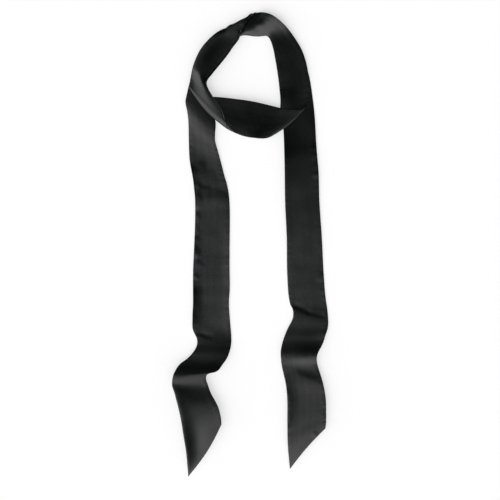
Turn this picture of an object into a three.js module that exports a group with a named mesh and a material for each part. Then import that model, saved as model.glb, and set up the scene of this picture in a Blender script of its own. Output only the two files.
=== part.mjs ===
import * as THREE from 'three';

// Silk scarf: one long narrow band of satin, sewn double, with a slanted point at
// each end. It lies on a flat surface, folded once round into an open loop with two
// tails hanging from it. Millimetres; +Z is up and the surface is Z = 0; +Y runs
// from the tails' points to the top of the loop.

// Driving dimensions
const BAND_WIDTH = 50;      // width of the finished band
const WALL = 1.0;           // both plies of satin together with the air between them
const CELLS_ACROSS = 8;     // cells of the cloth wall from edge to edge
const TABLE_WIDTH = 50;     // the band width that the table below is written for
const SCALE = BAND_WIDTH / TABLE_WIDTH;

// The band is followed from the tip of the left tail to the tip of the right one.
// Each row is one section across it, with the middle surface of the cloth wall:
//   x1 y1    plan position of the first edge (outer edge of both tails and of the loop's sides)
//   x2 y2    plan position of the second edge
//   h0..h4   heights at five equal steps from the first edge to the second
//   bx by bt optional: the section is bowed out in plan to this point, at this
//            share of the way across, where a fold's crease isn't straight
// step is the spacing along the band at which that part is meshed.
const COLUMNS = ['x1', 'y1', 'x2', 'y2', 'h0', 'h1', 'h2', 'h3', 'h4', 'bx', 'by', 'bt'];
const PARTS = [
  { part: 'left tail, from its tip up to the loop', step: 8, rows: [
    [ -86.2, -322.5,  -39.8, -249.2,    5.4,  6.4,  7.6,  8.8,  9.5,    -59.4, -286.6, 0.5],
    [ -86.8,   -305,  -40.4, -241.1,   12.4,  8.8,  9.3,  9.9, 10.1],
    [ -88.6, -285.6,  -41.6, -234.9,   15.6, 11.2, 10.9, 11.1, 10.9],
    [ -91.8, -266.8,  -43.2, -228.6,   16.6, 13.2, 12.4, 12.1, 11.5],
    [ -95.5, -243.9,  -45.8, -221.7,   16.2, 14.2, 13.3, 12.5, 11.7],
    [ -99.8, -224.5,  -50.2, -213.6,   15.2,   14, 13.2, 12.3, 11.4],
    [-103.3,   -212,  -54.3, -206.4,   13.3, 12.7, 11.9, 11.3, 10.8],
    [-105.5, -203.6,  -56.9,   -200,   11.9, 11.3, 10.7, 10.3, 10.1],
    [-107.9, -198.1,  -58.4,   -195,   10.9, 10.4, 10.1,  9.9,  9.8],
    [-108.6, -193.1,  -60.7, -189.2,   10.4, 10.3, 10.2, 10.1,   10],
    [-108.4, -188.9,  -61.9, -184.5,   10.6, 10.7, 10.6, 10.5, 10.3],
    [-107.6, -184.5,  -60.2, -179.9,   10.7, 10.8, 10.8, 10.7, 10.6],
    [-105.7, -178.6,  -47.6,   -177,     10, 10.1, 10.2, 10.3, 10.3],
    [ -97.9, -165.9,  -38.4, -166.6,    6.8,  6.9,  6.9,    7,    7],
    [ -88.4, -159.2,  -33.2, -159.8,    5.5,  5.6,  5.6,  5.6,  5.6],
    [   -80, -150.6,  -29.3, -150.9,    4.7,  4.7,  4.6,  4.5,  4.4],
    [   -74, -139.8,  -26.6,   -140,    2.9,  2.8,  2.7,  2.5,  2.4],
    [   -75, -128.4,  -26.2, -128.9,    2.4,  1.9,  1.5,  1.3,  1.2],
    [ -78.6, -122.5,  -26.6, -123.6,    2.2,  1.5,  1.1,    1,  1.1],
    [ -80.5, -102.3,  -28.4, -102.3,    1.6,  0.9,  0.7,  0.8,  1.1],
    [ -79.8,  -82.8,  -29.6,  -82.8,    1.5,  0.6,  0.5,  0.6,    1],
    [ -79.8,  -60.6,  -28.4,  -60.6,    1.2,  0.5,  0.5,  0.5,    1],
    [ -79.6,  -35.6,  -28.7,  -35.6,    0.8,  0.5,  0.5,  0.5,  1.2],
    [ -78.2,     -5,  -28.7,     -5,      1,  0.5,  0.5,  0.5,    1],
    [ -77.2,     20,  -28.4,     20,      1,  0.6,  0.5,  0.6,  1.2],
    [ -76.6,   49.1,  -28.4,   47.7,    1.4,  1.2,  1.1,    1,  0.9],
    [ -76.9,   65.8,  -28.9,   60.9,    1.9,  1.8,  1.6,  1.4,  1.1],
    [ -78.2,   77.6,  -30.1,     72,    1.8,  1.5,  1.2,    1,  0.8],
    [ -79.6,   90.8,  -32.9,   85.9,      2,  1.7,  1.4,  1.3,  1.3],
    [ -81.2,   99.1,  -35.4,   93.6,    2.1,  1.9,  1.5,  1.3,  1.4],
    [   -84,  114.4,  -37.7,  102.6,    1.3,  1.3,  1.3,  1.4,  1.6],
    [ -85.4,  136.6,  -41.8,  118.6,    1.1,  1.5,  1.8,    2,    2],
    [ -85.7,  156.1,  -45.9,  133.2,    1.7,  2.4,  2.8,    3,  2.9],
    [ -86.1,  172.7,  -48.9,    145,    2.8,  3.6,    4,  4.1,  3.9],
    [ -87.7,  185.2,  -48.6,  156.8,    3.9,  4.6,  4.9,  4.9,  4.6],
    [ -90.2,  196.4,  -47.9,    170,    4.2,  4.7,  4.8,  4.7,  4.3],
    [ -88.4,  207.5,  -55.2,  189.4,    3.8,  4.3,  4.2,    4,  3.5],
    ] },
  { part: 'left tail going on, hidden under the left side of the loop', step: 7, rows: [
    [ -79.3,  240.8,  -61.5,  234.6,    0.9,  2.2,  2.8,  2.6,  1.8],
    [ -74.6,  252.6,  -52.3,    245,      1,  2.8,  3.6,  3.4,  2.3],
    [ -61.2,  274.8,  -33.4,  266.5,    1.1,  3.7,  4.9,  4.8,  3.6],
    [ -40.7,  292.2,  -18.2,  286.4,    1.8,    4,  5.2,  5.2,  4.4],
    ] },
  { part: 'top of the loop, an arch with a rounded crest', step: 6, rows: [
    [ -13.2,  303.9,   -5.4,    290,    3.1,  3.9,  4.9,  5.7,  5.3],
    [  -4.8,  309.1,    0.4,    289,    3.8,  5.2,  7.2,  8.2,  6.8],
    [   4.9,  318.9,    7.9,  288.2,    3.6,  5.7,  9.4,  9.7,  6.6],
    [  11.3,  322.5,   11.6,  288.3,    3.4,  6.6,   11,  9.4,  5.8],
    [  16.8,  322.1,   15.7,  288.7,    5.6,  9.6, 11.6,  9.2,  5.8],
    [  22.4,  320.7,   19.1,  289.1,     11, 12.2, 11.3,  8.9,  6.2],
    [  30.2,  317.7,   22.7,  289.1,   13.8, 12.6, 10.8,  8.8,    7],
    [  38.2,  312.1,   25.5,  286.9,     13, 11.5,  9.9,  8.6,  7.8],
    [  47.7,  304.1,   28.5,  281.4,    9.6,  8.6,  8.1,  8.1,  8.3],
    [  58.8,  290.8,   31.4,  272.2,      6,  6.5,  7.2,    8,  8.6],
    ] },
  { part: 'right side of the loop, coming down', step: 7, rows: [
    [  71.6,    270,   34.3,  257.7,    4.4,  5.3,  6.4,  7.5,  8.4],
    [  78.8,  247.9,   37.5,  238.9,    3.5,  4.5,  5.9,  7.3,  8.3],
    [  81.8,  222.7,   40.3,  216.4,    3.3,  4.1,  5.4,  6.9,  7.9],
    [  81.7,  202.5,   41.6,  194.4,      3,  3.9,  5.6,  7.9,  9.2],
    ] },
  { part: 'slanted fold at the lower right: the band turns over to the left', step: 3.2, rows: [
    [  81.1,    198,   40.7,  181.6,    3.2,  4.1,  5.6,  7.5,  8.8],
    [  80.2,  195.1,   36.6,  166.9,    3.6,  4.8,    6,  7.6,  9.2],
    [  79.1,    193,   32.4,  156.1,    4.6,  5.7,  6.7,  8.2,   10,     57.4,  171.4, 0.5],
    [  77.9,  191.1,   29.9,    150,    5.8,  6.9,  7.9,  9.3,   11,     55.7,  167.7, 0.5],
    [  76.3,  189.8,   27.7,  148.6,      7,  8.1,  9.1, 10.5, 12.2,     53.8,  167.2, 0.5],
    [  71.8,  187.6,   23.8,  147.1,      8,    9, 10.2, 11.8, 13.5,     49.1,  166.4, 0.5],
    ] },
  { part: 'front band, from the right fold to the left one', step: 7, rows: [
    [  49.6,  187.6,   13.8,  146.1,   10.1, 10.8, 12.1, 13.9, 15.6],
    [  21.8,  193.9,      6,  146.8,   10.1, 11.2, 12.8, 14.9, 16.7],
    [   7.9,  197.2,    1.6,  147.2,    9.9,   11, 12.6, 14.7, 16.5],
    [   -33,  203.2,  -13.4,  150.8,    8.8,   10, 11.6, 13.4, 14.6],
    ] },
  { part: 'slanted fold at the lower left: the band turns over and goes up', step: 3.2, rows: [
    [ -69.3,  208.6,    -27,  156.9,    7.4,  8.6, 10.1, 11.8, 13.1],
    [ -77.3,    213,  -29.8,  158.4,    6.8,  7.9,  9.3, 10.8,   12],
    [ -81.8,  215.4,  -31.5,  159.6,    6.5,  7.7,  9.2, 10.8,   12,    -58.7,  184.3, 0.5],
    [ -84.4,  216.6,  -32.6,  160.4,    7.2,  8.9, 10.5, 11.9, 12.8,    -61.4,  184.3, 0.5],
    [ -84.4,  217.9,  -32.3,  163.6,    7.9,   10, 11.8,   13, 13.7,    -60.8,  186.9, 0.5],
    ] },
  { part: 'left side of the loop, going up over the left tail', step: 6, rows: [
    [ -84.3,  220.8,  -34.6,  172.1,    7.6, 10.7, 12.8, 13.8,   14],
    [   -84,  224.4,  -38.4,  183.9,      7, 10.6,   13, 13.9, 14.1],
    [ -82.9,  231.4,  -48.2,  199.1,    6.4, 10.1, 12.7, 13.5, 13.8],
    [ -81.4,  239.1,  -57.6,  214.4,    6.2, 10.1, 12.7,   13, 12.8],
    [ -80.2,    245,  -60.7,  222.7,    6.3, 10.4, 13.2, 12.6, 12.2],
    [ -76.2,  256.5,  -52.9,  235.5,    6.6,  9.8, 12.3, 10.7, 10.4],
    [ -69.8,  269.6,  -42.9,  247.9,    7.4,  8.6, 10.2,    9,    9],
    [ -59.1,  282.9,  -31.9,  261.8,    8.1,  7.7,    8,  7.7,    8],
    [ -46.5,  294.1,  -21.9,  276.2,      7,  6.9,  6.8,    7,  7.5],
    [ -38.2,  299.1,  -16.9,  282.3,      5,    7,    7,  7.1,  7.4],
    ] },
  { part: 'the band rolls under itself along the top of the loop', step: 3.2, rows: [
    [   -27,  299.7,  -13.9,    289,    1.2,  6.6,  7.5,  7.4,  7.4,    -28.7,    303, 0.3],
    [ -15.7,  298.6,  -11.8,  296.1,    0.6,    3,  7.2,  7.5,  7.4,      -20,  307.5, 0.45],
    [  -6.5,  295.5,     -8,  302.7,    0.6,  0.8,  5.2,  7.5,  7.4,    -12.2,  311.5, 0.55],
    [   1.3,  293.3,   -3.4,  310.5,    0.6,  0.5,  1.4,  5.8,  7.2,     -4.6,  314.4, 0.66],
    [   7.9,  292.3,    1.6,  317.3,    0.6,  0.6,  0.6,  2.2,    7,      0.9,  319.1, 0.8],
    [  12.7,  292.2,    5.4,  322.1,    0.6,  0.6,  0.6,  0.9,  3.4],
    [  16.3,  291.9,    9.9,  322.3,    0.6,  0.6,  0.6,  0.7,  1.4],
    [    21,  291.5,   16.8,  320.5,    0.6,  0.6,  0.6,  0.7,  0.8],
    ] },
  { part: 'hidden under the right side of the loop', step: 7, rows: [
    [    25,  289.7,   25.5,    320,    0.6,  0.7,  0.7,  0.8,  1.2],
    [  31.6,  281.6,     46,  305.2,    0.9,  1.4,  1.4,  0.9,  0.8],
    [  34.1,  274.7,   54.9,  293.6,    1.2,  1.9,  1.8,    1,  0.7],
    [  41.6,  232.2,   80.4,    240,      1,    1,  1.1,  1.2,  0.6],
    [  44.1,  200.5,   86.6,  205.8,    1.7,  1.7,  1.6,  1.2,  0.6],
    ] },
  { part: 'right tail, down to its tip', step: 8, rows: [
    [  45.4,  174.1,   89.8,  176.6,    3.8,  3.5,  3.1,  2.6,  1.4],
    [    46,  158.9,   90.7,  160.8,    5.8,  4.7,  3.7,  2.9,  1.8],
    [  46.6,  142.2,   91.6,  143.6,    8.2,  6.1,  4.4,  3.1,  1.9],
    [  47.1,  124.1,   92.9,    125,     10,  7.4,  5.4,    4,  2.6],
    [  47.5,  103.3,   94.8,  103.3,    9.4,  7.1,  5.4,  4.1,  2.8],
    [  48.1,   61.6,   96.1,   61.6,    6.8,  5.2,  4.1,  3.1,  2.2],
    [  50.5,    8.9,   99.6,    8.9,    3.8,    3,  2.4,  1.8,  1.4],
    [  51.4,  -43.9,  102.4,  -43.9,    1.5,  1.3,    1,  0.8,  0.6],
    [  53.9,  -75.9,  105.2,  -77.3,    0.8,  0.8,  0.8,  0.8,  0.9],
    [    56,    -85,  107.3,  -90.9,    0.9,  0.9,  0.9,  0.9,  0.9],
    [  59.2,  -90.3,  108.2, -101.7,    1.8,  1.8,  1.8,  1.8,  1.7],
    [  59.9,  -98.9,  108.5,   -107,    2.2,  2.2,  2.2,  2.1,    2],
    [  51.6, -117.5,  107.1, -119.2,    2.7,  2.7,  2.6,  2.6,  2.5],
    [  47.5, -127.3,  104.2,   -127,    3.6,  3.6,  3.5,  3.3,    3],
    [  44.8, -135.6,  101.7, -135.3,      4,    4,  3.9,  3.7,  3.1],
    [  42.8, -143.4,   98.8,   -142,    4.9,  5.1,  5.2,  5.1,  4.7],
    [    42, -151.4,   94.2, -149.8,    6.2,  6.6,  6.9,    7,  6.9],
    [  42.3,   -157,   92.4, -155.3,    6.5,  6.9,  7.3,  7.5,  7.4],
    [  43.6, -168.6,   93.1, -166.7,    6.1,  6.1,  6.1,  6.1,  5.9],
    [  45.4, -176.7,   95.3, -173.9,    6.1,    6,  5.9,  5.8,  5.8],
    [  49.1, -193.1,  100.2, -189.5,    6.9,  6.5,  6.5,  6.8,  7.1],
    [    51,   -212,  104.1, -208.4,    7.6,  6.8,  6.8,  6.9,  7.1],
    [  51.3, -249.5,  105.3, -234.9,    7.6,  6.9,  6.9,    7,    7],
    [  51.8, -275.9,  105.2, -246.7,    6.4,  6.4,  6.6,  6.7,  6.8],
    [    55, -312.3,  104.2, -255.4,    2.4,  4.2,  5.2,  5.8,  6.2,     77.9, -283.1, 0.5],
    ] },
];

// One section as an object with named sizes
const sections = PARTS.flatMap(({ step, rows }) => rows.map((row) => {
  const section = { step };
  COLUMNS.forEach((name, i) => {
    if (row[i] !== undefined) section[name] = name === 'bt' ? row[i] : row[i] * SCALE;
  });
  return section;
}));

// Natural cubic spline through values at equal steps on 0..1, read at t
function heightAcross(values, t) {
  const n = values.length - 1;
  const h = 1 / n;
  const c = new Array(n + 1).fill(0);      // forward sweep of the tridiagonal system
  const d = new Array(n + 1).fill(0);
  for (let i = 1; i < n; i += 1) {
    const right = (6 * (values[i + 1] - 2 * values[i] + values[i - 1])) / (h * h);
    const pivot = 4 - c[i - 1];
    c[i] = 1 / pivot;
    d[i] = (right - d[i - 1]) / pivot;
  }
  const bend = new Array(n + 1).fill(0);   // second derivatives, zero at both ends
  for (let i = n - 1; i > 0; i -= 1) bend[i] = d[i] - c[i] * bend[i + 1];
  const i = Math.min(n - 1, Math.floor(t * n));
  const s = t - i * h;
  const slope = (values[i + 1] - values[i]) / h - (h * (2 * bend[i] + bend[i + 1])) / 6;
  return values[i] + s * slope + (s * s * bend[i]) / 2 + (s * s * s * (bend[i + 1] - bend[i])) / (6 * h);
}

// Points across one section, from the first edge to the second
function pointsAcross(section) {
  const { x1, y1, x2, y2, h0, h1, h2, h3, h4, bx, by, bt } = section;
  const points = [];
  for (let j = 0; j <= CELLS_ACROSS; j += 1) {
    const t = j / CELLS_ACROSS;
    const point = new THREE.Vector3(x1 + (x2 - x1) * t, y1 + (y2 - y1) * t, heightAcross([h0, h1, h2, h3, h4], t));
    if (bt !== undefined) {
      const bow = Math.sin(Math.PI * t ** (Math.log(0.5) / Math.log(bt)));
      point.x += (bx - (x1 + (x2 - x1) * bt)) * bow;
      point.y += (by - (y1 + (y2 - y1) * bt)) * bow;
    }
    points.push(point);
  }
  return points;
}

// The sections joined by smooth curves along the band: an array of rows of points
function middleSurface() {
  const across = sections.map(pointsAcross);
  const gaps = [];
  for (let i = 0; i + 1 < across.length; i += 1) {
    gaps.push(across[i].reduce((sum, p, j) => sum + p.distanceTo(across[i + 1][j]), 0) / across[i].length);
  }
  const slopes = across.map((row, i) => row.map((p, j) => {
    const before = i > 0 ? p.clone().sub(across[i - 1][j]).divideScalar(gaps[i - 1]) : null;
    const after = i < gaps.length ? across[i + 1][j].clone().sub(p).divideScalar(gaps[i]) : null;
    if (!before) return after;
    if (!after) return before;
    const share = gaps[i - 1] / (gaps[i - 1] + gaps[i]);
    return before.multiplyScalar(1 - share).addScaledVector(after, share);
  }));
  const rows = [];
  for (let i = 0; i < gaps.length; i += 1) {
    const count = Math.max(1, Math.round(gaps[i] / (sections[i].step * SCALE)));
    const last = i === gaps.length - 1 ? count : count - 1;
    for (let k = 0; k <= last; k += 1) {
      const t = k / count;
      const a = 2 * t ** 3 - 3 * t ** 2 + 1;
      const b = (t ** 3 - 2 * t ** 2 + t) * gaps[i];
      const c = -2 * t ** 3 + 3 * t ** 2;
      const d = (t ** 3 - t ** 2) * gaps[i];
      rows.push(across[i].map((p, j) => {
        const q = new THREE.Vector3().addScaledVector(p, a).addScaledVector(slopes[i][j], b)
          .addScaledVector(across[i + 1][j], c).addScaledVector(slopes[i + 1][j], d);
        q.z = Math.max(q.z, WALL / 2);     // the cloth never goes into the surface
        return q;
      }));
    }
  }
  return rows;
}

// The cloth wall: the middle surface moved out by half the wall on both sides, with
// the edges and the two slanted ends closed
function clothWall(rows) {
  const n = rows.length;
  const m = rows[0].length;
  const at = (i, j) => rows[Math.min(n - 1, Math.max(0, i))][Math.min(m - 1, Math.max(0, j))];
  const positions = [];
  for (const side of [1, -1]) {
    for (let i = 0; i < n; i += 1) {
      for (let j = 0; j < m; j += 1) {
        const along = at(i + 1, j).clone().sub(at(i - 1, j));
        const across = at(i, j + 1).clone().sub(at(i, j - 1));
        const normal = across.cross(along).normalize();
        const p = at(i, j).clone().addScaledVector(normal, (side * WALL) / 2);
        positions.push(p.x, p.y, p.z);
      }
    }
  }
  const index = [];
  const under = n * m;
  for (let i = 0; i + 1 < n; i += 1) {
    for (let j = 0; j + 1 < m; j += 1) {
      const a = i * m + j;
      const b = a + 1;
      const c = b + m;
      const d = a + m;
      index.push(a, b, c, a, c, d);
      index.push(under + a, under + c, under + b, under + a, under + d, under + c);
    }
  }
  const rim = [];
  for (let j = 0; j < m; j += 1) rim.push(j);
  for (let i = 1; i < n; i += 1) rim.push(i * m + m - 1);
  for (let j = m - 2; j >= 0; j -= 1) rim.push((n - 1) * m + j);
  for (let i = n - 2; i > 0; i -= 1) rim.push(i * m);
  rim.forEach((a, k) => {
    const b = rim[(k + 1) % rim.length];
    index.push(b, a, under + a, b, under + a, under + b);
  });
  const geometry = new THREE.BufferGeometry();
  geometry.setAttribute('position', new THREE.Float32BufferAttribute(positions, 3));
  geometry.setIndex(index);
  geometry.computeVertexNormals();
  return geometry;
}

const satin = new THREE.MeshStandardMaterial({ color: 0x39393b, roughness: 0.35, metalness: 0 });
const scarfBand = new THREE.Mesh(clothWall(middleSurface()), satin);
scarfBand.name = 'scarf_band';

const group = new THREE.Group();
group.add(scarfBand);

export default group;
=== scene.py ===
import math

import bpy
import numpy as np
from mathutils import Matrix, Vector


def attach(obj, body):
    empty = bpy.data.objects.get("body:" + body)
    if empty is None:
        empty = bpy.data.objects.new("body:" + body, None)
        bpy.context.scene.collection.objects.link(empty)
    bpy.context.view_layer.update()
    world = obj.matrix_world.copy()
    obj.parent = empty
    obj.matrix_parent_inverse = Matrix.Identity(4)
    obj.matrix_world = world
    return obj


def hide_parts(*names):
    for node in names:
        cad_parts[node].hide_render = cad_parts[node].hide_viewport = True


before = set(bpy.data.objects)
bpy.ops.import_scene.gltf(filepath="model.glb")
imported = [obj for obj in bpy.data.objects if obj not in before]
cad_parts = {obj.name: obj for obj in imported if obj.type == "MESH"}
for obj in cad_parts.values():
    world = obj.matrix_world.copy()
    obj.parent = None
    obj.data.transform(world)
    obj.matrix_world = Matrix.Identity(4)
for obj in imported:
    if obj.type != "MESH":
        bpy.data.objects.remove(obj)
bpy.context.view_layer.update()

# ---------------------------------------------------------------- sizes, in millimetres
BAND_WIDTH = 50.0        # width of the finished band
PLY = 0.34               # one ply of satin
PUFF = 0.16              # air between the plies, away from the edges
EDGE_ROUND = 0.7         # reach of the rounded, pressed edge
LOW = 0.5                # the middle surface is never nearer than this to the surface it lies on
LIFT = 0.4               # room under the flat stretches for sunk creases
ALONG_STEP = 2.0         # mesh spacing along the band
FOLD_STEP = 0.95         # the same at its folds
FOLDS = ("F1", "F2", "K")
SMOOTH_PASSES = 3        # light smoothing along the band
PX = 50.0 / 36.0         # one pixel of the reference frame
PX0, PY0 = 250.276, 244.376  # the model's origin in that frame

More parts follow.
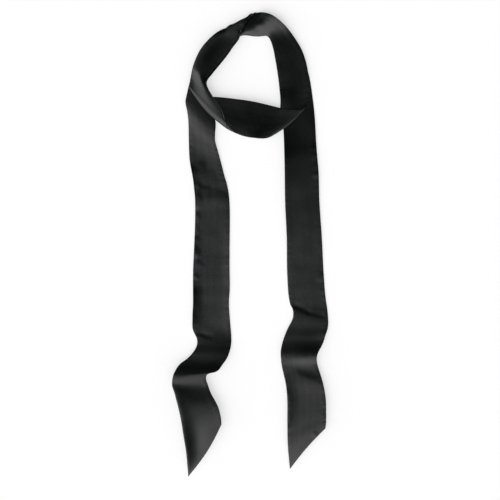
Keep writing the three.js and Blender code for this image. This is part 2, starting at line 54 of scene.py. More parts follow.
# Sections across the band, from the tip of the left tail to the tip of the right one.
# x1, y1, x2, y2: plan of the two edges; h0..h4: heights of the middle of the cloth at
# five equal steps across; bx, by, bt: optional bow of the section in plan.
SECTIONS = [
    ("TL", [  # left tail, from its tip up to the loop
        ( -86.2, -322.5,  -39.8, -249.2,    5.4,  6.4,  7.6,  8.8,  9.5,    -59.4, -286.6, 0.5),
        ( -86.8,   -305,  -40.4, -241.1,   12.4,  8.8,  9.3,  9.9, 10.1),
        ( -88.6, -285.6,  -41.6, -234.9,   15.6, 11.2, 10.9, 11.1, 10.9),
        ( -91.8, -266.8,  -43.2, -228.6,   16.6, 13.2, 12.4, 12.1, 11.5),
        ( -95.5, -243.9,  -45.8, -221.7,   16.2, 14.2, 13.3, 12.5, 11.7),
        ( -99.8, -224.5,  -50.2, -213.6,   15.2,   14, 13.2, 12.3, 11.4),
        (-103.3,   -212,  -54.3, -206.4,   13.3, 12.7, 11.9, 11.3, 10.8),
        (-105.5, -203.6,  -56.9,   -200,   11.9, 11.3, 10.7, 10.3, 10.1),
        (-107.9, -198.1,  -58.4,   -195,   10.9, 10.4, 10.1,  9.9,  9.8),
        (-108.6, -193.1,  -60.7, -189.2,   10.4, 10.3, 10.2, 10.1,   10),
        (-108.4, -188.9,  -61.9, -184.5,   10.6, 10.7, 10.6, 10.5, 10.3),
        (-107.6, -184.5,  -60.2, -179.9,   10.7, 10.8, 10.8, 10.7, 10.6),
        (-105.7, -178.6,  -47.6,   -177,     10, 10.1, 10.2, 10.3, 10.3),
        ( -97.9, -165.9,  -38.4, -166.6,    6.8,  6.9,  6.9,    7,    7),
        ( -88.4, -159.2,  -33.2, -159.8,    5.5,  5.6,  5.6,  5.6,  5.6),
        (   -80, -150.6,  -29.3, -150.9,    4.7,  4.7,  4.6,  4.5,  4.4),
        (   -74, -139.8,  -26.6,   -140,    2.9,  2.8,  2.7,  2.5,  2.4),
        (   -75, -128.4,  -26.2, -128.9,    2.4,  1.9,  1.5,  1.3,  1.2),
        ( -78.6, -122.5,  -26.6, -123.6,    2.2,  1.5,  1.1,    1,  1.1),
        ( -80.5, -102.3,  -28.4, -102.3,    1.6,  0.9,  0.7,  0.8,  1.1),
        ( -79.8,  -82.8,  -29.6,  -82.8,    1.5,  0.6,  0.5,  0.6,    1),
        ( -79.8,  -60.6,  -28.4,  -60.6,    1.2,  0.5,  0.5,  0.5,    1),
        ( -79.6,  -35.6,  -28.7,  -35.6,    0.8,  0.5,  0.5,  0.5,  1.2),
        ( -78.2,     -5,  -28.7,     -5,      1,  0.5,  0.5,  0.5,    1),
        ( -77.2,     20,  -28.4,     20,      1,  0.6,  0.5,  0.6,  1.2),
        ( -76.6,   49.1,  -28.4,   47.7,    1.4,  1.2,  1.1,    1,  0.9),
        ( -76.9,   65.8,  -28.9,   60.9,    1.9,  1.8,  1.6,  1.4,  1.1),
        ( -78.2,   77.6,  -30.1,     72,    1.8,  1.5,  1.2,    1,  0.8),
        ( -79.6,   90.8,  -32.9,   85.9,      2,  1.7,  1.4,  1.3,  1.3),
        ( -81.2,   99.1,  -35.4,   93.6,    2.1,  1.9,  1.5,  1.3,  1.4),
        (   -84,  114.4,  -37.7,  102.6,    1.3,  1.3,  1.3,  1.4,  1.6),
        ( -85.4,  136.6,  -41.8,  118.6,    1.1,  1.5,  1.8,    2,    2),
        ( -85.7,  156.1,  -45.9,  133.2,    1.7,  2.4,  2.8,    3,  2.9),
        ( -86.1,  172.7,  -48.9,    145,    2.8,  3.6,    4,  4.1,  3.9),
        ( -87.7,  185.2,  -48.6,  156.8,    3.9,  4.6,  4.9,  4.9,  4.6),
        ( -90.2,  196.4,  -47.9,    170,    4.2,  4.7,  4.8,  4.7,  4.3),
        ( -88.4,  207.5,  -55.2,  189.4,    3.8,  4.3,  4.2,    4,  3.5),
    ]),
    ("HL", [  # left tail going on, hidden under the left side of the loop
        ( -79.3,  240.8,  -61.5,  234.6,    0.9,  2.2,  2.8,  2.6,  1.8),
        ( -74.6,  252.6,  -52.3,    245,      1,  2.8,  3.6,  3.4,  2.3),
        ( -61.2,  274.8,  -33.4,  266.5,    1.1,  3.7,  4.9,  4.8,  3.6),
        ( -40.7,  292.2,  -18.2,  286.4,    1.8,    4,  5.2,  5.2,  4.4),
    ]),
    ("B", [  # top of the loop, an arch with a rounded crest
        ( -13.2,  303.9,   -5.4,    290,    3.1,  3.9,  4.9,  5.7,  5.3),
        (  -4.8,  309.1,    0.4,    289,    3.8,  5.2,  7.2,  8.2,  6.8),
        (   4.9,  318.9,    7.9,  288.2,    3.6,  5.7,  9.4,  9.7,  6.6),
        (  11.3,  322.5,   11.6,  288.3,    3.4,  6.6,   11,  9.4,  5.8),
        (  16.8,  322.1,   15.7,  288.7,    5.6,  9.6, 11.6,  9.2,  5.8),
        (  22.4,  320.7,   19.1,  289.1,     11, 12.2, 11.3,  8.9,  6.2),
        (  30.2,  317.7,   22.7,  289.1,   13.8, 12.6, 10.8,  8.8,    7),
        (  38.2,  312.1,   25.5,  286.9,     13, 11.5,  9.9,  8.6,  7.8),
        (  47.7,  304.1,   28.5,  281.4,    9.6,  8.6,  8.1,  8.1,  8.3),
        (  58.8,  290.8,   31.4,  272.2,      6,  6.5,  7.2,    8,  8.6),
    ]),
    ("R", [  # right side of the loop, coming down
        (  71.6,    270,   34.3,  257.7,    4.4,  5.3,  6.4,  7.5,  8.4),
        (  78.8,  247.9,   37.5,  238.9,    3.5,  4.5,  5.9,  7.3,  8.3),
        (  81.8,  222.7,   40.3,  216.4,    3.3,  4.1,  5.4,  6.9,  7.9),
        (  81.7,  202.5,   41.6,  194.4,      3,  3.9,  5.6,  7.9,  9.2),
    ]),
    ("F1", [  # slanted fold at the lower right: the band turns over to the left
        (  81.1,    198,   40.7,  181.6,    3.2,  4.1,  5.6,  7.5,  8.8),
        (  80.2,  195.1,   36.6,  166.9,    3.6,  4.8,    6,  7.6,  9.2),
        (  79.1,    193,   32.4,  156.1,    4.6,  5.7,  6.7,  8.2,   10,     57.4,  171.4, 0.5),
        (  77.9,  191.1,   29.9,    150,    5.8,  6.9,  7.9,  9.3,   11,     55.7,  167.7, 0.5),
        (  76.3,  189.8,   27.7,  148.6,      7,  8.1,  9.1, 10.5, 12.2,     53.8,  167.2, 0.5),
        (  71.8,  187.6,   23.8,  147.1,      8,    9, 10.2, 11.8, 13.5,     49.1,  166.4, 0.5),
    ]),
    ("H", [  # front band, from the right fold to the left one
        (  49.6,  187.6,   13.8,  146.1,   10.1, 10.8, 12.1, 13.9, 15.6),
        (  21.8,  193.9,      6,  146.8,   10.1, 11.2, 12.8, 14.9, 16.7),
        (   7.9,  197.2,    1.6,  147.2,    9.9,   11, 12.6, 14.7, 16.5),
        (   -33,  203.2,  -13.4,  150.8,    8.8,   10, 11.6, 13.4, 14.6),
    ]),
    ("F2", [  # slanted fold at the lower left: the band turns over and goes up
        ( -69.3,  208.6,    -27,  156.9,    7.4,  8.6, 10.1, 11.8, 13.1),
        ( -77.3,    213,  -29.8,  158.4,    6.8,  7.9,  9.3, 10.8,   12),
        ( -81.8,  215.4,  -31.5,  159.6,    6.5,  7.7,  9.2, 10.8,   12,    -58.7,  184.3, 0.5),
        ( -84.4,  216.6,  -32.6,  160.4,    7.2,  8.9, 10.5, 11.9, 12.8,    -61.4,  184.3, 0.5),
        ( -84.4,  217.9,  -32.3,  163.6,    7.9,   10, 11.8,   13, 13.7,    -60.8,  186.9, 0.5),
    ]),
    ("L", [  # left side of the loop, going up over the left tail
        ( -84.3,  220.8,  -34.6,  172.1,    7.6, 10.7, 12.8, 13.8,   14),
        (   -84,  224.4,  -38.4,  183.9,      7, 10.6,   13, 13.9, 14.1),
        ( -82.9,  231.4,  -48.2,  199.1,    6.4, 10.1, 12.7, 13.5, 13.8),
        ( -81.4,  239.1,  -57.6,  214.4,    6.2, 10.1, 12.7,   13, 12.8),
        ( -80.2,    245,  -60.7,  222.7,    6.3, 10.4, 13.2, 12.6, 12.2),
        ( -76.2,  256.5,  -52.9,  235.5,    6.6,  9.8, 12.3, 10.7, 10.4),
        ( -69.8,  269.6,  -42.9,  247.9,    7.4,  8.6, 10.2,    9,    9),
        ( -59.1,  282.9,  -31.9,  261.8,    8.1,  7.7,    8,  7.7,    8),
        ( -46.5,  294.1,  -21.9,  276.2,      7,  6.9,  6.8,    7,  7.5),
        ( -38.2,  299.1,  -16.9,  282.3,      5,    7,    7,  7.1,  7.4),
    ]),
    ("K", [  # the band rolls under itself along the top of the loop
        (   -27,  299.7,  -13.9,    289,    1.2,  6.6,  7.5,  7.4,  7.4,    -28.7,    303, 0.3),
        ( -15.7,  298.6,  -11.8,  296.1,    0.6,    3,  7.2,  7.5,  7.4,      -20,  307.5, 0.45),
        (  -6.5,  295.5,     -8,  302.7,    0.6,  0.8,  5.2,  7.5,  7.4,    -12.2,  311.5, 0.55),
        (   1.3,  293.3,   -3.4,  310.5,    0.6,  0.5,  1.4,  5.8,  7.2,     -4.6,  314.4, 0.66),
        (   7.9,  292.3,    1.6,  317.3,    0.6,  0.6,  0.6,  2.2,    7,      0.9,  319.1, 0.8),
        (  12.7,  292.2,    5.4,  322.1,    0.6,  0.6,  0.6,  0.9,  3.4),
        (  16.3,  291.9,    9.9,  322.3,    0.6,  0.6,  0.6,  0.7,  1.4),
        (    21,  291.5,   16.8,  320.5,    0.6,  0.6,  0.6,  0.7,  0.8),
    ]),
    ("HR", [  # hidden under the right side of the loop
        (    25,  289.7,   25.5,    320,    0.6,  0.7,  0.7,  0.8,  1.2),
        (  31.6,  281.6,     46,  305.2,    0.9,  1.4,  1.4,  0.9,  0.8),
        (  34.1,  274.7,   54.9,  293.6,    1.2,  1.9,  1.8,    1,  0.7),
        (  41.6,  232.2,   80.4,    240,      1,    1,  1.1,  1.2,  0.6),
        (  44.1,  200.5,   86.6,  205.8,    1.7,  1.7,  1.6,  1.2,  0.6),
    ]),
    ("TR", [  # right tail, down to its tip
        (  45.4,  174.1,   89.8,  176.6,    3.8,  3.5,  3.1,  2.6,  1.4),
        (    46,  158.9,   90.7,  160.8,    5.8,  4.7,  3.7,  2.9,  1.8),
        (  46.6,  142.2,   91.6,  143.6,    8.2,  6.1,  4.4,  3.1,  1.9),
        (  47.1,  124.1,   92.9,    125,     10,  7.4,  5.4,    4,  2.6),
        (  47.5,  103.3,   94.8,  103.3,    9.4,  7.1,  5.4,  4.1,  2.8),
        (  48.1,   61.6,   96.1,   61.6,    6.8,  5.2,  4.1,  3.1,  2.2),
        (  50.5,    8.9,   99.6,    8.9,    3.8,    3,  2.4,  1.8,  1.4),
        (  51.4,  -43.9,  102.4,  -43.9,    1.5,  1.3,    1,  0.8,  0.6),
        (  53.9,  -75.9,  105.2,  -77.3,    0.8,  0.8,  0.8,  0.8,  0.9),
        (    56,    -85,  107.3,  -90.9,    0.9,  0.9,  0.9,  0.9,  0.9),
        (  59.2,  -90.3,  108.2, -101.7,    1.8,  1.8,  1.8,  1.8,  1.7),
        (  59.9,  -98.9,  108.5,   -107,    2.2,  2.2,  2.2,  2.1,    2),
        (  51.6, -117.5,  107.1, -119.2,    2.7,  2.7,  2.6,  2.6,  2.5),
        (  47.5, -127.3,  104.2,   -127,    3.6,  3.6,  3.5,  3.3,    3),
        (  44.8, -135.6,  101.7, -135.3,      4,    4,  3.9,  3.7,  3.1),
        (  42.8, -143.4,   98.8,   -142,    4.9,  5.1,  5.2,  5.1,  4.7),
        (    42, -151.4,   94.2, -149.8,    6.2,  6.6,  6.9,    7,  6.9),
        (  42.3,   -157,   92.4, -155.3,    6.5,  6.9,  7.3,  7.5,  7.4),
        (  43.6, -168.6,   93.1, -166.7,    6.1,  6.1,  6.1,  6.1,  5.9),
        (  45.4, -176.7,   95.3, -173.9,    6.1,    6,  5.9,  5.8,  5.8),
        (  49.1, -193.1,  100.2, -189.5,    6.9,  6.5,  6.5,  6.8,  7.1),
        (    51,   -212,  104.1, -208.4,    7.6,  6.8,  6.8,  6.9,  7.1),
        (  51.3, -249.5,  105.3, -234.9,    7.6,  6.9,  6.9,    7,    7),
        (  51.8, -275.9,  105.2, -246.7,    6.4,  6.4,  6.6,  6.7,  6.8),
        (    55, -312.3,  104.2, -255.4,    2.4,  4.2,  5.2,  5.8,  6.2,     77.9, -283.1, 0.5),
    ]),
]

# relief that is finer than the sections, in the reference frame's pixels and in millimetres
# line: part, from x, y, to x, y, height (+ raised, - sunk), half width on its left-hand side
# (the upper one for a line drawn to the right) and on its right-hand side, taper at the ends (0 to 1)
LINES = [
    # left tail: soft cross creases
    ("TL", 195.5, 188.0, 212.0, 190.0, 0.45, 1.6, 6.0, 0.3),
    ("TL", 208.0, 189.0, 228.0, 200.0, 0.30, 3.0, 7.0, 0.4),
    ("TL", 194.5, 164.0, 207.0, 168.5, 0.50, 3.0, 6.0, 0.4),
    ("TL", 194.6, 332.6, 216.0, 338.4, -0.50, 2.6, 1.5, 0.45),
    ("TL", 194.0, 259.0, 204.5, 268.0, 0.32, 1.2, 3.2, 0.45),
    ("TL", 193.5, 273.0, 199.0, 280.0, 0.35, 1.0, 2.2, 0.35),
    ("TL", 195.6, 210.0, 199.5, 222.0, 0.30, 1.4, 2.8, 0.45),
    ("TL", 195.2, 222.0, 198.0, 234.0, 0.22, 1.2, 2.2, 0.45),
    ("TL", 194.5, 236.0, 199.0, 243.0, 0.28, 1.3, 2.6, 0.45),
    ("TL", 194.5, 246.0, 200.0, 258.0, 0.35, 1.4, 2.4, 0.35),
    ("TL", 195.5, 182.0, 200.5, 188.0, 0.40, 1.4, 2.2, 0.35),
    ("TL", 197.0, 192.0, 201.5, 204.0, 0.35, 1.3, 2.2, 0.35),
    # right tail: the sharp cross crease and its soft neighbours
    ("TR", 291.5, 304.8, 312.0, 314.0, -0.35, 2.2, 1.4, 0.25),
    ("TR", 304.0, 311.4, 327.0, 317.2, -0.35, 2.2, 1.4, 0.25),
    ("TR", 289.0, 372.0, 324.0, 384.5, 0.60, 3.2, 9.0, 0.4),
    ("TR", 312.8, 431.0, 317.0, 437.5, 0.30, 1.4, 2.0, 0.4),
]
# tick, a pucker at a sewn edge: part, edge, y at the edge, reach inwards, fall over that reach, height,
# half width above and below
TICKS = [
    ("TL", 1, 199.0, 5.0, 4.5, 0.20, 1.1, 2.0),
    ("TL", 1, 252.0, 5.5, 6.0, 0.25, 0.9, 1.6),
    ("TL", 1, 291.5, 6.0, 2.0, 0.16, 1.6, 3.4),
    ("TL", 1, 303.0, 8.0, 5.0, 0.18, 2.2, 3.6),
    ("TL", 1, 317.0, 7.0, 3.0, 0.15, 2.0, 4.0),
    ("TR", 2, 146.0, 7.5, 3.0, 0.60, 1.1, 1.8),
    ("TR", 2, 154.5, 6.0, 3.5, 0.60, 1.1, 1.8),
    ("TR", 2, 164.0, 5.5, 4.0, 0.50, 1.1, 1.8),
    ("TR", 2, 173.5, 6.0, 2.0, 0.70, 1.1, 2.4),
    ("TR", 2, 188.0, 4.0, 3.0, 0.20, 0.9, 1.5),
    ("TR", 2, 207.0, 4.0, 3.0, 0.20, 0.9, 1.5),
    ("TR", 2, 247.0, 4.5, 4.0, 0.20, 0.9, 1.5),
    ("TR", 2, 275.5, 8.0, 3.0, 0.45, 0.9, 2.6),
    ("TR", 2, 290.0, 4.0, 3.0, 0.25, 1.1, 1.8),
]
# curl of an edge: part, edge, from y, to y, height (+ turned up, - rolled down), reach, fade at both ends
CURLS = [
    ("TL", 1, 164.0, 212.0, 1.3, 4.0, 8.0),
    ("TL", 1, 236.0, 262.0, 0.8, 3.0, 8.0),
    ("TL", 1, 284.0, 334.0, 2.2, 5.0, 12.0),
    ("TL", 1, 384.0, 474.0, -0.9, 1.3, 12.0),
    ("TL", 2, 225.0, 330.0, 0.4, 6.0, 20.0),
    ("TR", 1, 384.0, 436.0, 1.1, 4.0, 12.0),
    ("TR", 1, 392.0, 428.0, -1.0, 1.3, 6.0),
    ("TR", 2, 328.0, 350.0, 1.0, 3.6, 7.0),
]
# hem: part, edge, distance of the pressed groove from the edge, depth, half width, all in millimetres
HEMS = [
    ("L", 2, 3.05, 1.1, 0.60),
    ("K", 2, 3.05, 1.1, 0.60),
]


def height_basis(t):
    # natural cubic spline through five values at equal steps, as weights of those values
    h = 0.25
    a, r = np.zeros((5, 5)), np.zeros((5, 5))
    a[0, 0] = a[4, 4] = 1.0
    for i in (1, 2, 3):
        a[i, i - 1], a[i, i], a[i, i + 1] = h, 4 * h, h
        r[i, i - 1], r[i, i], r[i, i + 1] = 6 / h, -12 / h, 6 / h
    m = np.linalg.solve(a, r)
    one = np.eye(5)
    i = np.clip((t / h).astype(int), 0, 3)
    s = (t - i * h)[:, None]
    return (one[i] + s * ((one[i + 1] - one[i]) / h - h * (2 * m[i] + m[i + 1]) / 6)
            + s ** 2 * m[i] / 2 + s ** 3 * (m[i + 1] - m[i]) / (6 * h))


def across_positions():
    # shares of the way across the band, closer together at the rounded edges
    edge = [0.0, 0.12, 0.34, 0.7, 1.25, 1.95, 2.55, 3.05, 3.55, 4.15, 5.0]
    count = 26
    middle = np.linspace(6.2, BAND_WIDTH - 6.2, count)
    w = np.concatenate([edge, middle, BAND_WIDTH - np.array(edge[::-1])])
    return w / BAND_WIDTH


def middle_surface():
    t = across_positions()
    basis = height_basis(t)
    names, rows = [], []
    for part, sections in SECTIONS:
        for row in sections:
            x1, y1, x2, y2 = row[:4]
            x, y = x1 + (x2 - x1) * t, y1 + (y2 - y1) * t
            if len(row) > 9:
                bx, by, bt = row[9:12]
                bow = np.sin(np.pi * t ** (math.log(0.5) / math.log(bt)))
                x = x + (bx - (x1 + (x2 - x1) * bt)) * bow
                y = y + (by - (y1 + (y2 - y1) * bt)) * bow
            rows.append(np.stack([x, y, basis @ np.array(row[4:9])], axis=1))
            names.append(part)
    p = np.array(rows)
    gap = np.linalg.norm(np.diff(p, axis=0), axis=2).mean(axis=1)
    slope = np.diff(p, axis=0) / gap[:, None, None]
    m = np.empty_like(p)
    m[0], m[-1] = slope[0], slope[-1]
    share = (gap[:-1] / (gap[:-1] + gap[1:]))[:, None, None]
    m[1:-1] = slope[:-1] * (1 - share) + slope[1:] * share
    out, part = [], []
    for i, g in enumerate(gap):
        n = max(1, int(round(g / (FOLD_STEP if names[i] in FOLDS else ALONG_STEP))))
        for k in range(n + (i == len(gap) - 1)):
            u = k / n
            out.append((2 * u ** 3 - 3 * u ** 2 + 1) * p[i] + (u ** 3 - 2 * u ** 2 + u) * g * m[i]
                       + (3 * u ** 2 - 2 * u ** 3) * p[i + 1] + (u ** 3 - u ** 2) * g * m[i + 1])
            part.append(names[i])
    g = np.array(out)
    for _ in range(SMOOTH_PASSES):
        g[1:-1] = (g[:-2] + 2 * g[1:-1] + g[2:]) / 4
    g[:, :, 2] = np.maximum(g[:, :, 2], LOW)
    return g, np.array(part), t


def lengths(g):
    # distance along the band at every point, and across it from the first edge
    s = np.concatenate([np.zeros((1, g.shape[1])), np.cumsum(np.linalg.norm(np.diff(g, axis=0), axis=2), axis=0)])
    w = np.concatenate([np.zeros((g.shape[0], 1)), np.cumsum(np.linalg.norm(np.diff(g, axis=1), axis=2), axis=1)], axis=1)
    return s, w


def wave(s, w, seed, step, count):
    # a smooth, repeatable unevenness: a few long waves with seeded phases
    rng = np.random.default_rng(seed)
    z = np.zeros_like(s)
    for _ in range(count):
        a = rng.uniform(-0.5, 0.5)
        k = 2 * np.pi / (step * rng.uniform(0.7, 1.5))
        z += np.sin(k * (s * math.cos(a) + w * math.sin(a)) + rng.uniform(0, 2 * np.pi))
    return z / math.sqrt(count)


def uneven(off, above, below):
    # a ridge's section: a bell with one half width on its upper side and another below
    return np.exp(-0.5 * (off / np.where(off > 0, above, below)) ** 2)


def relief(g, part, t):
    s, w = lengths(g)
    wide = w[:, -1:]
    even = np.repeat(s.mean(axis=1)[:, None], s.shape[1], axis=1)
    x, y = g[:, :, 0] / PX + PX0, PY0 - g[:, :, 1] / PX
    z = np.zeros(s.shape)
    for name, x0, y0, x1, y1, height, above, below, taper in LINES:
        dx, dy = x1 - x0, y1 - y0
        long = math.hypot(dx, dy)
        u = ((x - x0) * dx + (y - y0) * dy) / long ** 2
        off = ((x - x0) * dy - (y - y0) * dx) / long
        ends = np.clip((u + 0.02) / max(taper, 0.02), 0, 1) * np.clip((1.02 - u) / max(taper, 0.02), 0, 1)
        ends = ends * ends * (3 - 2 * ends)
        z += (part == name)[:, None] * height * uneven(off, above, below) * ends
    for name, edge, y0, reach, fall, height, above, below in TICKS:
        d = (w if edge == 1 else wide - w) / PX
        off = y0 + d * fall / reach - y
        fade = np.clip(1 - d / reach, 0, 1) ** 0.7 * np.clip(0.35 + d / 1.2, 0, 1)
        z += (part == name)[:, None] * height * uneven(off, above, below) * fade
    for name, edge, y0, y1, height, reach, fade in CURLS:
        d = (w if edge == 1 else wide - w) / PX
        e = y[:, :1] if edge == 1 else y[:, -1:]
        on = np.clip((e - y0) / fade, 0, 1) * np.clip((y1 - e) / fade, 0, 1)
        z += (part == name)[:, None] * height * np.exp(-d / reach) * on * on * (3 - 2 * on)
    for name, edge, at, depth, half in HEMS:
        d = w if edge == 1 else wide - w
        here = (part == name).astype(float)
        for _ in range(12):
            here[1:-1] = (here[:-2] + 2 * here[1:-1] + here[2:]) / 4
        z -= here[:, None] * depth * np.exp(-0.5 * ((d - at) / half) ** 2)
    # a seam's turned-in cloth shows through as a low step along both edges
    for d in (w, wide - w):
        z += 0.08 / (1 + np.exp((d - 6.5) / 0.6)) * (1 + 0.5 * wave(even, w, 5, 30, 3))
        # small puckers along the sewn edges
        z += 0.08 * np.exp(-d / 4.0) * wave(even, w * 0.2, 11, 9, 5)
    # the cloth is never quite even: low cross waves, and faint streaks along the band
    z += 0.08 * wave(even, w, 21, 80, 5) + 0.02 * wave(even, w, 22, 24, 6) + 0.012 * wave(w, even * 0.08, 23, 9, 6)
    return z, s, w


def add_relief(g, part, t):
    g = g.copy()
    g[:, :, 2] += LIFT
    z, s, w = relief(g, part, t)
    n = normals(g)
    up = np.where(n[:, :, 2:3] < 0, -n, n)
    g = g + up * z[:, :, None]
    g[:, :, 2] = np.maximum(g[:, :, 2], LOW)
    return g, s, w


def normals(g):
    n = np.cross(np.gradient(g, axis=1), np.gradient(g, axis=0))
    return n / np.linalg.norm(n, axis=2)[:, :, None]


def band_mesh(name):
    g, part, t = middle_surface()
    g, s, w = add_relief(g, part, t)
    rows, cols = g.shape[:2]
    n = normals(g)
    wide = w[:, -1:]
    # half of the thickness: two plies with a little air, rounded off at the edges and ends
    end = np.minimum(s, s[-1] - s)
    d = np.minimum(np.minimum(w, wide - w), end)
    round_off = np.sqrt(np.clip(1 - (1 - np.clip(d / EDGE_ROUND, 0, 1)) ** 2, 0, 1))
    half = (PLY + PUFF / 2 * np.clip(d / 6, 0, 1)) * round_off
    upper, lower = g + n * half[:, :, None], g - n * half[:, :, None]
    for side in (upper, lower):
        side[:, :, 2] = np.maximum(side[:, :, 2], 0.02)
    index = np.arange(rows * cols).reshape(rows, cols)
    under = np.full((rows, cols), -1)
    under[1:-1, 1:-1] = rows * cols + np.arange((rows - 2) * (cols - 2)).reshape(rows - 2, cols - 2)
    rim = under < 0
    under[rim] = index[rim]
    places = np.concatenate([upper.reshape(-1, 3), lower[1:-1, 1:-1].reshape(-1, 3)]) / 1000.0

    def quads(q, flip):
        a, b, c, e = q[:-1, :-1], q[:-1, 1:], q[1:, 1:], q[1:, :-1]
        f = np.stack([a, b, c, e] if not flip else [a, e, c, b], axis=-1)
        return f.reshape(-1, 4)

    faces = np.concatenate([quads(index, False), quads(under, True)])
    mesh = bpy.data.meshes.new(name)
    mesh.from_pydata(places.tolist(), [], faces.tolist())
    mesh.update()
    # u runs across the band and v along it, both in metres
    su, wu = np.repeat(s.mean(axis=1)[:, None], cols, axis=1) / 1000.0, w / 1000.0
    us = np.concatenate([wu.reshape(-1), wu[1:-1, 1:-1].reshape(-1) + 0.06])
    vs = np.concatenate([su.reshape(-1), su[1:-1, 1:-1].reshape(-1)])
    loops = np.empty(len(mesh.loops), dtype=np.int64)
    mesh.loops.foreach_get("vertex_index", loops)
    uv = mesh.uv_layers.new(name="cloth")
    uv.data.foreach_set("uv", np.stack([us[loops], vs[loops]], axis=1).reshape(-1))
    mesh.polygons.foreach_set("use_smooth", np.ones(len(mesh.polygons), dtype=bool))
    mesh.validate()
    mesh.update()
    obj = bpy.data.objects.new(name, mesh)
    bpy.context.scene.collection.objects.link(obj)
    area = 0.5 * np.linalg.norm(np.cross(g[1:, 1:] - g[:-1, :-1], g[:-1, 1:] - g[1:, :-1]), axis=2).sum() / 1e6
    return obj, s[-1, 0] / 1000, s[-1, -1] / 1000, area


def node(tree, kind, **values):
    n = tree.nodes.new(kind)
    for key, value in values.items():
        if key in n.inputs:
            n.inputs[key].default_value = value
        else:
            setattr(n, key, value)
    return n


def satin_material():
    mat = bpy.data.materials.new("black_satin")
    mat.use_nodes = True
    tree = mat.node_tree
    tree.nodes.clear()
    link = tree.links.new
    out = node(tree, "ShaderNodeOutputMaterial")
    shader = node(tree, "ShaderNodeBsdfPrincipled")
    shader.inputs["IOR"].default_value = 1.5
    shader.inputs["Specular IOR Level"].default_value = 0.5
    shader.inputs["Sheen Weight"].default_value = 0.0
    shader.inputs["Sheen Roughness"].default_value = 0.35
    uv = node(tree, "ShaderNodeUVMap", uv_map="cloth")
    # threads run along the band: long, thin streaks
    stretch = node(tree, "ShaderNodeMapping")
    stretch.inputs["Scale"].default_value = (2600.0, 90.0, 1.0)
    threads = node(tree, "ShaderNodeTexNoise", noise_dimensions="2D")
    threads.inputs["Scale"].default_value = 1.0
    threads.inputs["Detail"].default_value = 3.0
    threads.inputs["Roughness"].default_value = 0.6
    link(uv.outputs[0], stretch.inputs["Vector"])
    link(stretch.outputs[0], threads.inputs["Vector"])
    # fine diagonal of the satin weave
    diagonal = node(tree, "ShaderNodeMapping")
    diagonal.inputs["Rotation"].default_value = (0.0, 0.0, math.radians(27))
    weave = node(tree, "ShaderNodeTexWave", wave_type="BANDS", bands_direction="X", wave_profile="SIN")
    weave.inputs["Scale"].default_value = 420.0
    weave.inputs["Distortion"].default_value = 1.2
    weave.inputs["Detail"].default_value = 1.0
    weave.inputs["Detail Scale"].default_value = 2.0
    link(uv.outputs[0], diagonal.inputs["Vector"])
    link(diagonal.outputs[0], weave.inputs["Vector"])
    # broad, soft unevenness of the lustre
    cloud = node(tree, "ShaderNodeTexNoise", noise_dimensions="2D")
    cloud.inputs["Scale"].default_value = 38.0
    cloud.inputs["Detail"].default_value = 2.0
    link(uv.outputs[0], cloud.inputs["Vector"])
    colour = node(tree, "ShaderNodeValToRGB")
    colour.color_ramp.elements[0].position = 0.30
    colour.color_ramp.elements[0].color = (0.0008, 0.0016, 0.0015, 1)
    colour.color_ramp.elements[1].position = 0.72
    colour.color_ramp.elements[1].color = (0.0022, 0.0028, 0.0027, 1)
    link(threads.outputs["Fac"], colour.inputs["Fac"])
    link(colour.outputs["Color"], shader.inputs["Base Color"])
    rough = node(tree, "ShaderNodeMapRange")
    rough.inputs["From Min"].default_value = 0.3
    rough.inputs["From Max"].default_value = 0.7
    rough.inputs["To Min"].default_value = 0.23
    rough.inputs["To Max"].default_value = 0.29
    link(cloud.outputs["Fac"], rough.inputs["Value"])
    link(rough.outputs[0], shader.inputs["Roughness"])
    grain = node(tree, "ShaderNodeMath", operation="MULTIPLY_ADD")
    grain.inputs[1].default_value = 0.08
    link(weave.outputs["Fac"], grain.inputs[0])
    link(threads.outputs["Fac"], grain.inputs[2])
    bump = node(tree, "ShaderNodeBump")
    bump.inputs["Strength"].default_value = 0.35
    bump.inputs["Distance"].default_value = 0.00012
    link(grain.outputs[0], bump.inputs["Height"])
    link(bump.outputs["Normal"], shader.inputs["Normal"])
    link(shader.outputs[0], out.inputs["Surface"])
    return mat


def floor_material():
    mat = bpy.data.materials.new("pale_floor")
    mat.use_nodes = True
    shader = mat.node_tree.nodes["Principled BSDF"]
    # a lit table: part of its white comes from below, so the contact shadows stay faint
    shader.inputs["Base Color"].default_value = (0.45, 0.453, 0.448, 1)
    shader.inputs["Emission Color"].default_value = (1.0, 1.0, 1.0, 1)
    shader.inputs["Emission Strength"].default_value = 0.56
    shader.inputs["Roughness"].default_value = 1.0
    shader.inputs["Specular IOR Level"].default_value = 0.0
    return mat


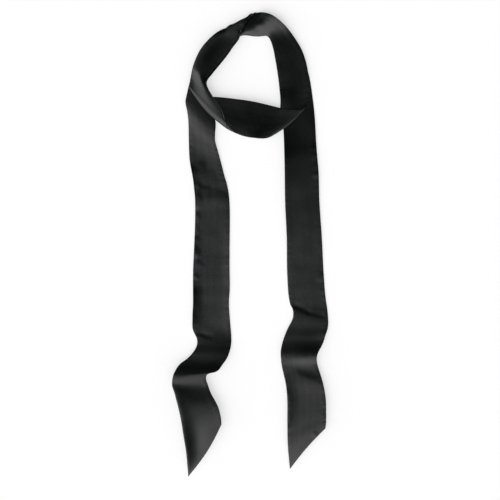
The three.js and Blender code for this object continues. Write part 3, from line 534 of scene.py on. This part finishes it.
def studio_light():
    # a soft studio dome: bright from the lower left, mid-grey overhead, dark from the upper right
    world = bpy.data.worlds.new("studio")
    bpy.context.scene.world = world
    world.use_nodes = True
    tree = world.node_tree
    tree.nodes.clear()
    link = tree.links.new
    out = node(tree, "ShaderNodeOutputWorld")
    sky = node(tree, "ShaderNodeBackground")
    sky.inputs["Strength"].default_value = 1.0
    place = node(tree, "ShaderNodeTexCoord")
    towards = node(tree, "ShaderNodeVectorMath", operation="DOT_PRODUCT")
    towards.inputs[1].default_value = (-0.50, -0.866, 0.0)
    link(place.outputs["Generated"], towards.inputs[0])
    spread = node(tree, "ShaderNodeMapRange")
    spread.inputs["From Min"].default_value = -1.0
    spread.inputs["From Max"].default_value = 1.0
    link(towards.outputs["Value"], spread.inputs["Value"])
    ramp = node(tree, "ShaderNodeValToRGB")
    ramp.color_ramp.interpolation = "EASE"
    stops = [
        (0.00, (0.10, 0.11, 0.11)),
        (0.12, (0.004, 0.008, 0.008)),
        (0.34, (0.020, 0.031, 0.028)),
        (0.43, (0.175, 0.204, 0.200)),
        (0.50, (0.32, 0.333, 0.333)),
        (0.67, (2.55, 2.51, 2.58)),
        (0.80, (2.60, 2.57, 2.60)),
        (0.92, (1.45, 1.38, 1.36)),
        (1.00, (1.20, 1.14, 1.12)),
    ]
    for i, (at, colour) in enumerate(stops):
        e = ramp.color_ramp.elements[i] if i < 2 else ramp.color_ramp.elements.new(at)
        e.position = at
        e.color = (*colour, 1)
    link(spread.outputs[0], ramp.inputs["Fac"])
    link(ramp.outputs["Color"], sky.inputs["Color"])
    link(sky.outputs[0], out.inputs["Surface"])


def flat_plane(name, half, z):
    mesh = bpy.data.meshes.new(name)
    mesh.from_pydata([(-half, -half, z), (half, -half, z), (half, half, z), (-half, half, z)], [], [(0, 1, 2, 3)])
    obj = bpy.data.objects.new(name, mesh)
    bpy.context.scene.collection.objects.link(obj)
    return obj


def photo_camera():
    # straight down, with the reference frame's 500 pixels across the sensor
    height = 2.2
    data = bpy.data.cameras.new("camera")
    data.sensor_width = 36.0
    data.lens = 36.0 * (height - 0.004) / (500 * PX / 1000)
    data.clip_end = 60.0
    cam = bpy.data.objects.new("camera", data)
    cam.location = ((250 - PX0) * PX / 1000, (PY0 - 250) * PX / 1000, height)
    bpy.context.scene.collection.objects.link(cam)
    bpy.context.scene.camera = cam


photo_camera()
studio_light()
bpy.context.scene.view_settings.view_transform = "Standard"

floor = flat_plane("floor", 12.0, 0.0)
floor.data.materials.append(floor_material())

scarf, length_1, length_2, surface = band_mesh("scarf")
scarf.data.materials.append(satin_material())
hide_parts("scarf_band")
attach(scarf, "root")
print("edges %.3f %.3f m, middle surface %.4f m2, %d triangles"
      % (length_1, length_2, surface, sum(len(p.vertices) - 2 for p in scarf.data.polygons)))
